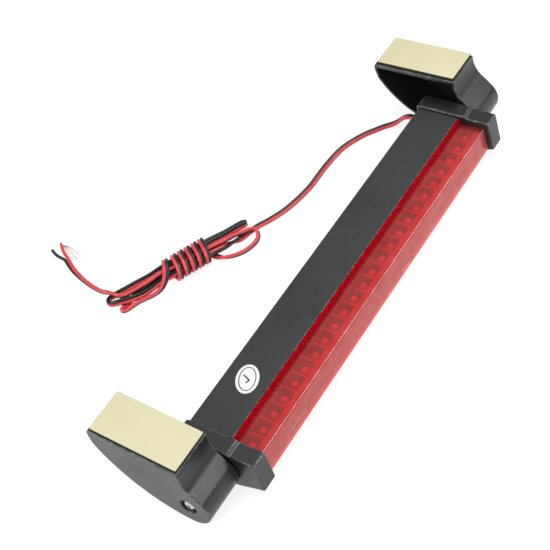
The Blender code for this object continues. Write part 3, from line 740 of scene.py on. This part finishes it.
def make_label():
    """Oval sticker with a printed ring and a plain tick."""
    low = 25.08
    top = 25.26
    vinyl = vinyl_finish("label_vinyl", rgb(0.66, 0.66, 0.65))
    face = solid("label_face", slab(ellipse(9.35, 6.3), low, top, 0.06), vinyl)
    belongs(face, "bar", "label_white", "qc_label")
    ink = vinyl_finish("label_ink", rgb(0.05, 0.05, 0.05))
    ring = solid("label_ring", slab(ellipse(7.75, 4.75), top - 0.04, top + 0.03), ink)
    carve(ring, [slab(ellipse(7.2, 4.2), top - 0.1, top + 0.1)])
    belongs(ring, "bar", "label_white")
    stroke = [(-2.9, 0.3), (-2.2, 0.95), (-0.9, -0.45), (2.5, 2.6), (3.1, 1.95), (-0.9, -1.75)]
    centre = Matrix.Translation((*LABEL_PLACE, 0.0)) @ Matrix.Rotation(math.radians(LABEL_TURN), 4, "Z")
    tick = moved(slab(fillet(stroke[::-1], 0.2, 3), top - 0.04, top + 0.03), centre)
    belongs(solid("label_tick", tick, ink), "bar", "label_white")


def make_grommet():
    """Rubber bush with a grooved neck and a ribbed, tapering tail."""
    profile = [(2.3, 19.3), (3.2, 19.3), (3.4, 19.5), (3.4, 20.4), (2.6, 20.5), (2.6, 24.3), (3.7, 24.3),
               (3.9, 24.5), (3.9, 25.2), (3.7, 25.4), (3.1, 25.5), (3.1, 26.0), (2.8, 26.1), (2.8, 26.5),
               (3.0, 26.6), (2.9, 27.1), (2.6, 27.2), (2.6, 27.6), (2.7, 27.7), (2.5, 28.0), (2.2, 28.0)]
    bush = moved(turned(profile, 40), aim((0, 1, 0), (EXIT[0], 0.0, EXIT[2])))
    belongs(solid("grommet_bush", bush, rubber_finish()), "bar", "rubber", "cord_grommet")


# ---- brackets

def bracket_outline():
    """(y, z) points about the pivot: plate, hollow throat, knuckle and belly."""
    throat = arc((-15.0, 27.0), 17.0, 0.0, -50.0, 14)
    knuckle = arc((0.0, 0.0), 12.9, 130.0, 270.0, 40)
    belly = arc((0.0, 51.1), 64.0, -90.0, -31.0, 36)
    return [(2.0, 28.6)] + throat + knuckle + belly[1:] + [(56.3, 24.5), (56.4, 27.0), (55.4, 28.6)]


def swivel(side):
    """Placing of a bracket's own drawing, tilted about its pivot as it rests."""
    tilt = Matrix.Rotation(math.radians(REST_TILT[side]), 4, "X")
    return Matrix.Translation((0.0, PIVOT_Y, PIVOT_Z)) @ tilt


def make_bracket(side, sign, black):
    """Hollow shell, open towards the bar, with a hub round the pivot and a recess for the screw."""
    outline = bracket_outline()
    outer = fillet(outline, 0.7, 4, 30.0)
    shell = solid("bracket_shell_" + side, bar_of(outer, sign * BRACKET_IN, sign * BRACKET_OUT, 0.7), black)
    hollow = [(y, min(z, 26.3)) for y, z in offset(outline, -1.9)]
    carve(shell, [bar_of(hollow, sign * (BRACKET_IN - 2.0), sign * 161.8)])
    hub = moved(turned([(12.0, 0.0), (12.0, 12.5)], 64), aim((sign, 0, 0), (sign * 149.9, 0, 0)))
    carve(shell, [hub], "UNION")
    bore = moved(turned([(SCREW_BORE, 0.0), (SCREW_BORE, 20.0)], 32), aim((sign, 0, 0), (sign * 147.9, 0, 0)))
    depth = BRACKET_OUT - RECESS_FLOOR
    recess = [(4.8, 0.0), (4.8, depth - 0.4), (5.2, depth), (5.3, 6.0)]
    carve(shell, [bore, moved(turned(recess, 48), aim((sign, 0, 0), (sign * RECESS_FLOOR, 0, 0)))])
    shell.data.transform(scaled_place(swivel(side)))
    mark_edges(shell)
    belongs(shell, side + "_bracket", "black_plastic", "bracket_" + side)


def scaled_place(matrix):
    """The same placing for a mesh that is already in metres."""
    result = matrix.copy()
    result.translation = result.translation * MM
    return result


def pad_outline(sign, corner, shrink=0.0):
    """(x, y) points of the tape on a bracket's plate, with round corners."""
    x_low, x_high = sorted((sign * (137.9 + shrink), sign * (162.9 - shrink)))
    y_low = 2.6 + shrink
    y_high = 54.4 - shrink
    return (arc((x_high - corner, y_high - corner), corner, 0, 90, 5)
            + arc((x_low + corner, y_high - corner), corner, 90, 180, 5)
            + arc((x_low + corner, y_low + corner), corner, 180, 270, 5)
            + arc((x_high - corner, y_low + corner), corner, 270, 360, 5))


def make_pad(side, sign, foam, paper):
    """Foam tape whose cut edge draws in a little at mid height, under its release paper."""
    body = side + "_bracket"
    rings = []
    for height, pull in TAPE_HEIGHTS:
        rings.append([(x, y, height) for x, y in offset(pad_outline(sign, 0.8), -pull)])
    tape = solid("foam_tape_piece_" + side, moved(layers(rings), swivel(side)), foam)
    belongs(tape, body, "foam", "foam_tape_" + side)
    sheet = slab(pad_outline(sign, 0.7, 0.2), 30.34, 30.6, 0.07)
    liner = solid("liner_paper_" + side, moved(sheet, swivel(side)), paper)
    belongs(liner, body, "liner", "tape_liner_" + side)


def make_screw(side, sign, steel, washer_steel):
    """Pan-head screw with a cross recess and rolled thread, on a plain washer."""
    thread = [(0.3, -19.5), (1.0, -18.6), (1.4, -17.8)]
    for k in range(13):
        foot = -17.4 + 1.1 * k
        thread += [(1.5, foot), (1.95, foot + 0.35), (1.95, foot + 0.5), (1.5, foot + 0.85)]
    head = [(1.9, -2.6), (1.9, -0.3), (2.1, 0.0), (3.5, 0.0), (3.6, 0.12), (3.6, 0.75), (3.5, 1.15),
            (3.2, 1.6), (2.7, 2.0), (2.0, 2.3), (1.2, 2.45), (0.4, 2.5)]
    seat = aim((sign, 0, 0), (sign * SCREW_SEAT, PIVOT_Y, PIVOT_Z))
    screw = solid("screw_" + side, moved(turned(thread + head, 36), seat), steel)
    cross = [(1.9, -0.42), (1.9, 0.42), (0.5, 0.5), (0.42, 1.9), (-0.42, 1.9), (-0.5, 0.5), (-1.9, 0.42),
             (-1.9, -0.42), (-0.5, -0.5), (-0.42, -1.9), (0.42, -1.9), (0.5, -0.5)]
    narrow = [(x * 0.45, y * 0.45) for x, y in cross]
    drive = layers([[(x, y, 0.9) for x, y in narrow], [(x, y, 2.6) for x, y in cross],
                    [(x, y, 4.0) for x, y in cross]])
    carve(screw, [moved(drive, seat @ Matrix.Rotation(math.radians(28.0), 4, "Z"))])
    belongs(screw, "bar", "steel", "pivot_screw_" + side)
    ring = [(4.2, 0.0), (4.4, 0.15), (4.4, 0.65), (4.2, 0.8)]
    place = aim((sign, 0, 0), (sign * (RECESS_FLOOR + 0.3), PIVOT_Y, PIVOT_Z))
    washer = solid("washer_" + side, moved(turned(ring, 48), place), washer_steel)
    carve(washer, [moved(turned([(SCREW_BORE, -1.0), (SCREW_BORE, 2.0)], 32), place)])
    belongs(washer, "bar", "steel", "pivot_washer_" + side)


# ---- lead

def on_table(x, y, z, red):
    """A point of the route, and the way from the black conductor to the red one."""
    return Vector((x, y, z)), Vector(red).normalized()


def in_hank(s, t, z, red=ON_EDGE):
    """The same, given along and across the hank; on edge if left out."""
    spot = HANK_START + s * HANK_ALONG + t * HANK_ACROSS
    way = red[0] * HANK_ALONG + red[1] * HANK_ACROSS
    return Vector((spot.x, spot.y, z)), Vector((way.x, way.y, red[2])).normalized()


def hank_route(*spots):
    return [in_hank(*spot) for spot in spots]


def lead_run():
    """Out of the bush, down to the table and along it to the hank."""
    drop = [on_table(*EXIT, (-1, 0, 0)), on_table(130.2, 32.8, 11.6, (-1, 0, 0)),
            on_table(131.0, 37.6, 8.2, (-1, -0.05, 0)), on_table(130.4, 41.5, 4.4, (-1, -0.2, 0)),
            on_table(128.9, 45.6, 2.0, (-0.9, -0.4, 0))]
    run = [(126.3, 49.6), (121.4, 53.4), (115.9, 57.5), (107.8, 61.7), (98.8, 64.9), (87.8, 66.2),
           (77.2, 66.5), (64.2, 66.3), (54.5, 67.3), (46.0, 68.9), (37.7, 71.2), (28.7, 75.2)]
    for before, here, after in zip([run[0]] + run, run, run[1:] + [run[-1]]):
        ahead = (after[0] - before[0], after[1] - before[1])
        drop.append(on_table(*here, ON_TABLE, (-ahead[1], ahead[0], 0)))
    return drop


def first_strand():
    """Turning over on the way through the winding to the left end, and round the end hairpin."""
    return hank_route(
        (-14.1, -1.6, 1.15, FLAT), (-8, -2.0, 1.15, FLAT), (-3, -3.0, 1.2, (0, -0.95, -0.2)),
        (1, -4.2, 2.1, (0, -0.1, -1)), (5, -3.3, 2.0, (0, 0.7, -0.7)), (9, -2.9, 1.9, (0, 1, 0.1)),
        (14, -3.6, 2.9, (0, 0.9, 0.4)), (18, -4.6, 4.3, (0, 0.9, 0.2)), (24, -5.4, 5.2, (0, 0.9, -0.4)),
        (30, -5.5, 5.2, (0, 0.3, -0.95)), (36, -5.0, 5.0, (0, -0.4, -0.9)), (42, -4.4, 4.4, (0, -0.7, -0.7)),
        (48, -2.9, 3.6, (0, -0.8, -0.6)), (53, -1.8, 3.0, (0, -0.8, -0.5)), (59, -2.5, 2.3, (0, -0.6, -0.8)),
        (65, -3.2, 2.3, (0, -0.6, -0.8)), (70, -3.4, 3.0, (0, -0.55, -0.8)),
        (75, -3.3, 4.2, (0, -0.5, -0.86)), (79, -2.2, 4.6, (0, -0.4, -0.9)),
        (82.4, -0.2, 3.8, (0.1, -0.1, -1)), (85.0, 2.0, 2.6, (0.1, 0.1, -1)),
        (86.4, 4.4, 2.3, (0, 0.3, -0.95)), (85.5, 6.8, 2.15, (0, 0.2, -1)), (82.6, 7.7, 2.15, (0, 0, -1)))


def second_strand():
    """Back on edge to the right end and round the pinched fold."""
    return hank_route(
        (79.0, 7.5, 2.15), (73, 7.3, 2.15), (65, 7.0, 2.2), (57, 6.0, 2.8), (50.5, 5.0, 4.6), (44, 4.4, 5.5),
        (35, 4.4, 5.5), (27, 4.4, 5.5), (21, 4.5, 5.4), (14, 5.3, 4.2), (6, 6.1, 2.5), (-1, 6.2, 2.2),
        (-5.4, 6.3, 2.2, (0, -0.4, -0.9)), (-8.6, 5.9, 2.3, (0, -0.2, -1)), (-9.8, 4.6, 2.6, (0, -0.2, -1)),
        (-8.6, 3.3, 3.0, (0, -0.2, -1)), (-5.2, 3.6, 3.2, (0, -0.4, -0.9)))


def third_strand():
    """Left again under the others, then folded back along the near side."""
    return hank_route(
        (-1, 3.7, 3.2), (6, 3.4, 3.4), (14, 2.9, 4.4), (21, 2.2, 5.4), (27, 1.9, 5.5), (35, 1.9, 5.5),
        (44, 1.9, 5.5), (50, 1.9, 4.4), (55, 1.1, 2.8), (60, 0.3, 2.2), (65.5, -0.2, 2.1),
        (70, -0.5, 1.7, (0.1, -0.85, -0.5)), (74.5, -1.3, 1.15, (0.2, -0.98, 0)),
        (78.4, -2.9, 1.15, (0.5, -0.85, 0)), (81.0, -4.0, 1.6, (0.4, -0.7, 0.5)),
        (82.7, -4.9, 2.05, (0.2, -0.6, 0.8)), (82.7, -6.7, 2.1, (0.1, -0.5, 0.87)),
        (80.6, -7.6, 2.1, (0.1, -0.5, 0.87)), (77.0, -7.1, 2.1, (0.1, -0.4, 0.9)), (71.7, -6.7, 2.1, RED_UP),
        (66.3, -7.4, 2.1, RED_UP), (61.4, -8.2, 2.4, RED_UP), (57.5, -8.3, 3.6, (0.2, -0.2, 0.95)),
        (54.0, -7.4, 5.6, (0.5, 0.1, 0.86)), (50.8, -5.2, 8.2, (0.8, 0.3, 0.5)),
        (48.4, -1.6, 10.2, (1, 0.2, 0.2)), (46.8, 2.2, 10.2, (1, 0.1, 0.1)), (45.6, 5.8, 8.5, (1, 0.1, 0)),
        (44.9, 7.6, 5.8, (1, 0, 0)), (44.4, 5.6, 2.3, (1, 0, 0)), (44.1, 1.5, 1.1, (1, 0, 0)),
        (43.9, -4.5, 1.1, (1, 0, 0)), (43.8, -8.3, 2.7, (1, 0, 0)))


def winding():
    """Five turns round the strands that move on over the top, with the red side outwards there."""
    turns = 5
    steps = 16
    first = 43.6
    pitch = 4.7
    half_width = 8.75
    half_height = 4.55
    result = []
    for i in range((turns - 1) * steps + 12):
        a = math.pi - 2 * math.pi * i / steps
        whole, part = divmod(i / steps, 1.0)
        advance = pitch * (whole + min(1.0, 2.0 * part))
        out = Vector((math.cos(a) / half_width, math.sin(a) / half_height)).normalized()
        lean = 0.45 * max(0.0, min(1.0, 0.6 + math.sin(a))) * max(0.0, min(1.0, 0.7 - math.cos(a)))
        result.append(in_hank(first - advance, -1.0 + half_width * math.cos(a),
                              5.62 + half_height * math.sin(a), (1, lean * out.x, lean * out.y)))
    return result


def loop_and_tail():
    """Side loop, over the lead and through the winding on top, then off to the free end."""
    hank = hank_route(
        (19.6, -1.6, 1.12, (1, 0, 0)), (18.0, -6.4, 1.2, (0.95, -0.3, 0.2)),
        (14.3, -11.0, 1.8, (0.3, -0.5, 0.8)), (7.4, -13.9, 2.05, (0, -0.4, 0.9)),
        (0.2, -14.3, 2.05, (0, -0.3, 0.95)), (-6.9, -12.0, 2.05, (0.1, -0.2, 0.97)),
        (-10.2, -8.4, 2.4, (0.3, -0.2, 0.93)), (-10.8, -5.2, 3.4, (0.3, -0.3, 0.9)),
        (-8.4, -3.7, 4.4, RED_UP), (-3.5, -3.4, 5.2, RED_UP), (2, -2.4, 5.4, RED_UP), (8, -1.9, 5.2, RED_UP),
        (15, -1.9, 5.9, RED_UP), (21, -2.0, 6.3, RED_UP), (28, -2.0, 6.6, RED_UP), (35, -2.0, 6.6, RED_UP),
        (42, -1.8, 6.7, RED_UP), (48, -0.8, 6.6, RED_UP), (54, -0.1, 6.5, RED_UP), (60, -0.4, 6.0, RED_UP),
        (66, -0.4, 5.9, RED_UP), (72, -0.4, 5.8, RED_UP), (77, -0.1, 6.1, RED_UP), (79.8, 1.4, 6.5, RED_UP),
        (81.2, 4.2, 6.4, RED_UP), (82.9, 8.2, 6.0, RED_UP), (84.4, 12.0, 4.3, RED_UP))
    return hank + [on_table(-60.1, 138.8, 3.0, (-0.2, -0.3, 0.9)),
                   on_table(-58.8, 145.6, 2.2, (-0.1, -0.3, 0.9)),
                   on_table(-56.7, 154.2, 2.0, (0.1, -0.2, 0.95)),
                   on_table(-52.5, 165.2, 1.8, (0.6, -0.3, 0.8)),
                   on_table(-47.2, 174.6, ON_TABLE, (1, -0.5, 0.1))]


def through(points, pieces=12):
    """Dense points of a Catmull-Rom curve."""
    padded = [2 * points[0] - points[1]] + list(points) + [2 * points[-1] - points[-2]]
    dense = []
    for p0, p1, p2, p3 in zip(padded, padded[1:], padded[2:], padded[3:]):
        for i in range(pieces):
            t = i / pieces
            dense.append(0.5 * (2 * p1 + (p2 - p0) * t + (2 * p0 - 5 * p1 + 4 * p2 - p3) * t * t
                                + (3 * p1 - p0 - 3 * p2 + p3) * t ** 3))
    dense.append(points[-1])
    return np.array([tuple(p) for p in dense])


def even_route(points, step):
    """Evenly spaced centres, travel directions and red-side directions, kept above the table."""
    centres = through([p for p, _ in points])
    sides = through([w for _, w in points])
    walked = np.concatenate([[0.0], np.cumsum(np.linalg.norm(np.diff(centres, axis=0), axis=1))])
    at = np.linspace(0.0, walked[-1], int(round(walked[-1] / step)) + 1)
    spots = np.stack([np.interp(at, walked, centres[:, k]) for k in range(3)], 1)
    wide = np.stack([np.interp(at, walked, sides[:, k]) for k in range(3)], 1)
    for _ in range(2):
        spots[1:-1] = 0.25 * spots[:-2] + 0.5 * spots[1:-1] + 0.25 * spots[2:]
    ahead = np.gradient(spots, axis=0)
    ahead /= np.linalg.norm(ahead, axis=1)[:, None]
    wide -= (wide * ahead).sum(1)[:, None] * ahead
    wide /= np.linalg.norm(wide, axis=1)[:, None]
    spots[:, 2] = np.maximum(spots[:, 2], WIRE_RADIUS + 0.05 + WIRE_OFFSET * np.abs(wide[:, 2]))
    return spots, ahead, wide


def twin_section(steps=10):
    """(across, thick) points of two round lobes joined by a web, red lobe first."""
    red = [(WIRE_OFFSET - WIRE_RADIUS * math.cos(math.radians(a)), WIRE_RADIUS * math.sin(math.radians(a)))
           for a in np.linspace(WEB_ANGLE, 360.0 - WEB_ANGLE, steps + 1)]
    black = [(-x, -y) for x, y in red]
    return red + black


def sweep(name, spots, ahead, wide, section, finishes, bands):
    """Tube through the spots; bands gives the finish of each side of the section."""
    thick = np.cross(ahead, wide)
    count = len(section)
    rings = np.stack([spots + wide * x + thick * y for x, y in section], 1) * MM
    last = len(spots) - 1
    faces = []
    material = []
    for i in range(last):
        for k in range(count):
            n = (k + 1) % count
            faces.append((i * count + k, i * count + n, (i + 1) * count + n, (i + 1) * count + k))
            material.append(bands[k])
    faces.append(tuple(range(count))[::-1])
    faces.append(tuple(last * count + k for k in range(count)))
    material += [0, 0]
    mesh = bpy.data.meshes.new(name)
    mesh.from_pydata(rings.reshape(-1, 3).tolist(), [], faces)
    for finish in finishes:
        mesh.materials.append(finish)
    mesh.polygons.foreach_set("material_index", material)
    mesh.update()
    result = linked(name, mesh)
    bm = bmesh.new()
    bm.from_mesh(mesh)
    bmesh.ops.recalc_face_normals(bm, faces=bm.faces)
    bm.to_mesh(mesh)
    bm.free()
    soften(result, 60.0)
    return result


def round_wire(name, points, radius, finish, steps=12, step=0.8):
    """A round wire through its points, with flat ends."""
    spots, ahead, wide = even_route([(Vector(p), Vector((1.0, 0.3, 0.05))) for p in points], step)
    spots[:, 2] = np.array([np.interp(k, np.linspace(0, len(spots) - 1, len(points)), [p[2] for p in points])
                            for k in range(len(spots))])
    circle = arc((0.0, 0.0), radius, 0.0, 360.0 * (steps - 1) / steps, steps - 1)
    return sweep(name, spots, ahead, wide, circle, [finish], [0] * steps)


def make_lead(red, black):
    """The whole twin lead in one sweep, with its split tips."""
    route = lead_run() + first_strand() + second_strand() + third_strand() + winding() + loop_and_tail()
    spots, ahead, wide = even_route(route, 1.2)
    section = twin_section()
    half = len(section) // 2
    lead = sweep("twin_lead", spots, ahead, wide, section, [red, black], [0] * half + [1] * half)
    belongs(lead, "bar", "wire_red", "cord_lead", "cord_hank", "cord_winding", "cord_loop", "cord_tail")
    tips = make_tips(spots[-1], wide[-1], ahead[-1], red, black)


def make_tips(end, wide, ahead, red, black):
    """The two conductors past the split, each with a short stripped end, and loose strands."""
    metal = tinned_finish()
    pieces = []
    plan = (("red", red, 1.0, [(-42.4, 181.4), (-37.6, 187.2)], 0.98),
            ("black", black, -1.0, [(-46.4, 183.6), (-44.1, 189.0)], 0.98))
    for name, finish, side, spots, height in plan:
        start = end + wide * side * WIRE_OFFSET - ahead * 0.4
        points = [tuple(start), tuple(start + ahead * 1.6)] + [(x, y, height) for x, y in spots]
        wire = round_wire("tip_" + name, points, 0.96, finish)
        belongs(wire, "bar", "wire_" + name, "cord_tip_" + name)
        pieces.append(wire)
        pieces.append(stripped_end("strands_" + name, points[-2], points[-1], metal))
    pieces.append(loose_strands(metal))
    return pieces


def joined(name, wires, metal):
    """One mesh from several fine wires."""
    together = bmesh.new()
    for wire in wires:
        together.from_mesh(wire.data)
        bpy.data.objects.remove(wire, do_unlink=True)
    return belongs(solid(name, together, metal, 1.0), "bar", "steel")


def loose_strands(metal):
    """Hair-fine strands that trail off the red tip and lie on the table."""
    wires = []
    for k in range(9):
        lean = k - 4.0
        points = [(-38.4 + 0.1 * k, 186.2, 0.5), (-38.6 + 0.5 * lean, 182.0 - 0.3 * k, 0.25 + 0.05 * k),
                  (-40.0 + 0.8 * lean, 176.8 + 0.4 * math.sin(3.0 * k), 0.16),
                  (-42.0 + 0.9 * lean, 171.0 + 1.2 * math.sin(2.0 * k), 0.16),
                  (-44.5 + 0.7 * lean, 166.4 + 1.8 * math.cos(2.0 * k), 0.16)]
        wires.append(round_wire("strand", points[:5 - k % 2], 0.13, metal, 6, 1.0))
    return joined("loose_strands", wires, metal)


def stripped_end(name, before, end, metal):
    """Seven fine strands that fan out a little past the insulation, as one mesh."""
    ahead = (Vector(end) - Vector(before)).normalized()
    across = ahead.cross(Vector((0, 0, 1)))
    wires = []
    for k in range(7):
        a = 2 * math.pi * k / 6
        out = (across * math.cos(a) + Vector((0, 0, 1)) * math.sin(a)) * (0.0 if k == 6 else 0.3)
        points = [Vector(end) - ahead * 0.8 + out, Vector(end) + ahead * 0.6 + out,
                  Vector(end) + ahead * (1.6 + 0.25 * math.sin(k)) + out * 1.7]
        wires.append(round_wire("strand", [tuple(p) for p in points], 0.12, metal, 6, 0.5))
    return joined(name, wires, metal)


# ---- CAD pieces that stay

def dress_cad_nodes(red, black):
    """The inner pieces keep their CAD shape and get worked finishes."""
    plain = {"led_board": board_finish(), "polarity_diode": diode_finish(), "feed_wire_red": red,
             "feed_wire_black": black}
    bands = resistor_finish()
    epoxy = led_finish()
    for name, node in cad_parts.items():
        finish = plain.get(name)
        if name.startswith("resistor_"):
            finish = bands
        elif name.startswith("led_") and name[4:].isdigit():
            finish = epoxy
        if finish:
            for holder in node.material_slots:
                holder.material = finish


def main():
    """Build everything."""
    make_camera()
    make_studio()
    red = pvc_finish("pvc_red", rgb(0.50, 0.022, 0.028), rgb(0.60, 0.042, 0.050))
    dark = pvc_finish("pvc_black", rgb(0.006, 0.006, 0.006), rgb(0.013, 0.014, 0.013), 0.4)
    make_lead(red, dark)
    black = moulded_black("abs_black", rgb(0.007, 0.009, 0.009), rgb(0.012, 0.014, 0.014), 0.29)
    matt = moulded_black("abs_black_matt", rgb(0.008, 0.010, 0.010), rgb(0.013, 0.016, 0.016), 0.42)
    make_bar(matt)
    make_cups()
    make_label()
    make_grommet()
    foam = foam_finish()
    paper = liner_finish()
    steel = plated_steel("nickel_plate", rgb(0.56, 0.56, 0.55))
    zinc = plated_steel("zinc_plate", rgb(0.62, 0.64, 0.66))
    for side, sign in (("left", -1), ("right", 1)):
        make_cap(side, sign, black)
        make_bracket(side, sign, black)
        make_pad(side, sign, foam, paper)
        make_screw(side, sign, steel, zinc)
    dress_cad_nodes(red, dark)


main()
